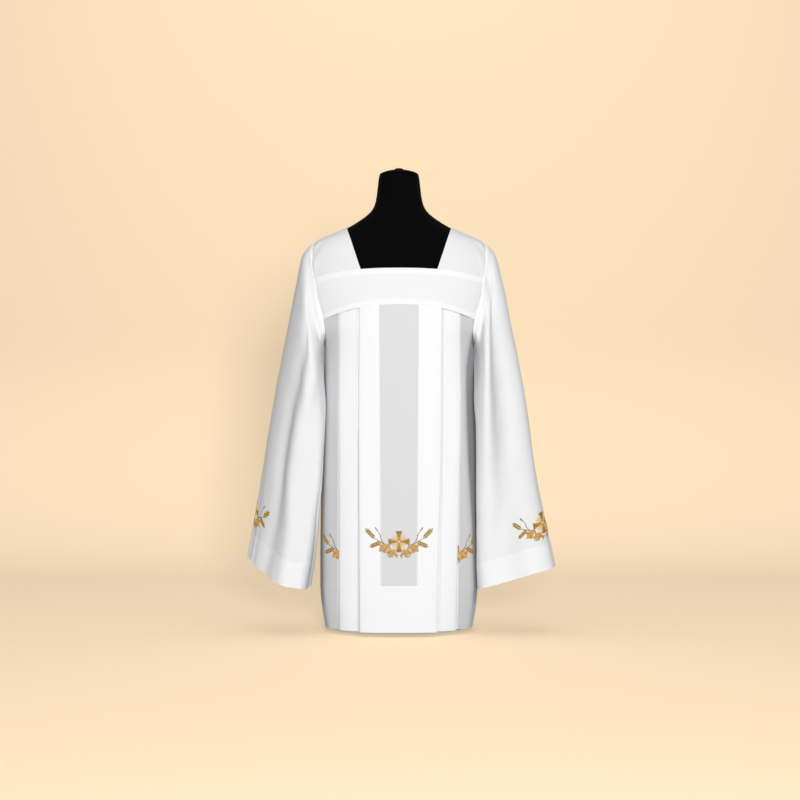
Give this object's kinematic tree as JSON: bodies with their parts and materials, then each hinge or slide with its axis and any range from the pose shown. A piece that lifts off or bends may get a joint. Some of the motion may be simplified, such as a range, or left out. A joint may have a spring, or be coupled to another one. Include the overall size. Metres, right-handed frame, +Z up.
{
  "type": "surplice on a dress form",
  "caption": "White surplice with a square neck, yoke, stacked pleats and wide sleeves, gold embroidery above the hems, worn by a black limbless dress form on an oval foot.",
  "frame": {"origin": "centre of the underside of the stand's foot, on the floor", "axes": "+Z up, the front of the garment faces -Y, the wearer's left is +X"},
  "size_m": [0.721, 0.244, 1.0769],
  "materials": {
    "white_cloth": "fine matte plain weave, slightly sheer",
    "gold_thread": "satin-stitched embroidery thread",
    "black_jersey": "matte knitted cover",
    "black_steel": "satin powder coat"
  },
  "bodies": {
    "root": {"skirt_front": "white_cloth", "skirt_back": "white_cloth", "yoke_front": "white_cloth", "yoke_back": "white_cloth", "shoulder_left": "white_cloth", "shoulder_right": "white_cloth", "sleeve_left": "white_cloth", "sleeve_right": "white_cloth", "form_torso": "black_jersey", "form_neck_cap": "black_jersey", "form_post": "black_steel", "form_socket": "black_steel", "form_foot": "black_steel"}
  },
  "joints": []
}
